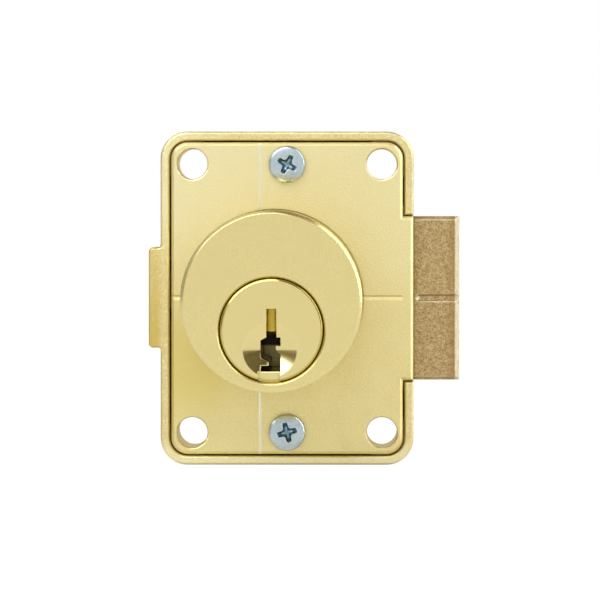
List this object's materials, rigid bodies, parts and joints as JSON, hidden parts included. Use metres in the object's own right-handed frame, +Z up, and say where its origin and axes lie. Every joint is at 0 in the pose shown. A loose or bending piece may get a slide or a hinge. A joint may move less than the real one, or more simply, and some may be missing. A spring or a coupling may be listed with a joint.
{
  "type": "door latch lock",
  "caption": "Surface-mounted cabinet door latch lock: shallow case with cover plate, round pin tumbler cylinder standing out in front, and a spring latch bolt at the side.",
  "frame": {"origin": "on the cylinder's axis, in the plane of the cover plate that lies against the door", "axes": "+X towards the latch bolt, +Y into the cabinet, away from the keyhole, +Z up"},
  "size_m": [0.0446, 0.0365, 0.0478],
  "materials": {
    "satin_brass": "satin cast brass, fine grain",
    "turned_brass": "smooth satin brass, brushed face",
    "pin_brass": "bright turned brass",
    "sintered_bronze": "dull mottled sintered bronze",
    "zinc_plate": "clear zinc plate",
    "cam_steel": "plain milled steel",
    "spring_steel": "drawn spring wire"
  },
  "bodies": {
    "lock_body": {"case": "satin_brass", "cover_plate": "satin_brass", "cover_screw_upper": "zinc_plate", "cover_screw_lower": "zinc_plate", "cylinder_shell": "turned_brass", "spring_cover": "turned_brass", "cylinder_screw_left": "zinc_plate", "cylinder_screw_right": "zinc_plate", "bolt_spring_upper": "spring_steel", "bolt_spring_lower": "spring_steel", "pin_spring_1": "spring_steel", "pin_spring_2": "spring_steel", "pin_spring_3": "spring_steel", "pin_spring_4": "spring_steel", "pin_spring_5": "spring_steel"},
    "plug_core": {"plug": "turned_brass", "cam": "cam_steel", "cam_screw": "zinc_plate"},
    "latch_bolt": {"latch_bolt": "sintered_bronze"},
    "key_pin_1": {"key_pin_1": "pin_brass"},
    "driver_pin_1": {"driver_pin_1": "pin_brass"},
    "key_pin_2": {"key_pin_2": "pin_brass"},
    "driver_pin_2": {"driver_pin_2": "pin_brass"},
    "key_pin_3": {"key_pin_3": "pin_brass"},
    "driver_pin_3": {"driver_pin_3": "pin_brass"},
    "key_pin_4": {"key_pin_4": "pin_brass"},
    "driver_pin_4": {"driver_pin_4": "pin_brass"},
    "key_pin_5": {"key_pin_5": "pin_brass"},
    "driver_pin_5": {"driver_pin_5": "pin_brass"}
  },
  "joints": [
    {"name": "plug_turn", "type": "hinge", "parent": "lock_body", "child": "plug_core", "pos_m": [0, 0, -0.004], "axis": [0, -1, 0], "range_deg": [0, 95]},
    {"name": "bolt_slide", "type": "slide", "parent": "lock_body", "child": "latch_bolt", "axis": [1, 0, 0], "range_m": [-0.00663, 0], "stiffness_N_per_m": 300, "springref_m": 0.006, "deforming": ["bolt_spring_upper", "bolt_spring_lower"]},
    {"name": "key_pin_1_drop", "type": "slide", "parent": "plug_core", "child": "key_pin_1", "axis": [0, 0, 1], "range_m": [-0.0002, 0]},
    {"name": "driver_pin_1_lift", "type": "slide", "parent": "lock_body", "child": "driver_pin_1", "axis": [0, 0, 1], "range_m": [0, 0.0024], "stiffness_N_per_m": 150, "springref_m": -0.003, "deforming": ["pin_spring_1"]},
    {"name": "key_pin_2_drop", "type": "slide", "parent": "plug_core", "child": "key_pin_2", "axis": [0, 0, 1], "range_m": [-0.0024, 0]},
    {"name": "driver_pin_2_lift", "type": "slide", "parent": "lock_body", "child": "driver_pin_2", "axis": [0, 0, 1], "range_m": [0, 0.0024], "stiffness_N_per_m": 150, "springref_m": -0.003, "deforming": ["pin_spring_2"]},
    {"name": "key_pin_3_drop", "type": "slide", "parent": "plug_core", "child": "key_pin_3", "axis": [0, 0, 1], "range_m": [-0.0013, 0]},
    {"name": "driver_pin_3_lift", "type": "slide", "parent": "lock_body", "child": "driver_pin_3", "axis": [0, 0, 1], "range_m": [0, 0.0024], "stiffness_N_per_m": 150, "springref_m": -0.003, "deforming": ["pin_spring_3"]},
    {"name": "key_pin_4_drop", "type": "slide", "parent": "plug_core", "child": "key_pin_4", "axis": [0, 0, 1], "range_m": [-0.0028, 0]},
    {"name": "driver_pin_4_lift", "type": "slide", "parent": "lock_body", "child": "driver_pin_4", "axis": [0, 0, 1], "range_m": [0, 0.0024], "stiffness_N_per_m": 150, "springref_m": -0.003, "deforming": ["pin_spring_4"]},
    {"name": "key_pin_5_drop", "type": "slide", "parent": "plug_core", "child": "key_pin_5", "axis": [0, 0, 1], "range_m": [-0.0017, 0]},
    {"name": "driver_pin_5_lift", "type": "slide", "parent": "lock_body", "child": "driver_pin_5", "axis": [0, 0, 1], "range_m": [0, 0.0024], "stiffness_N_per_m": 150, "springref_m": -0.003, "deforming": ["pin_spring_5"]}
  ],
  "couplings": [
    {"joint": "plug_turn", "follows": "bolt_slide", "rad_per_m": -250}
  ]
}
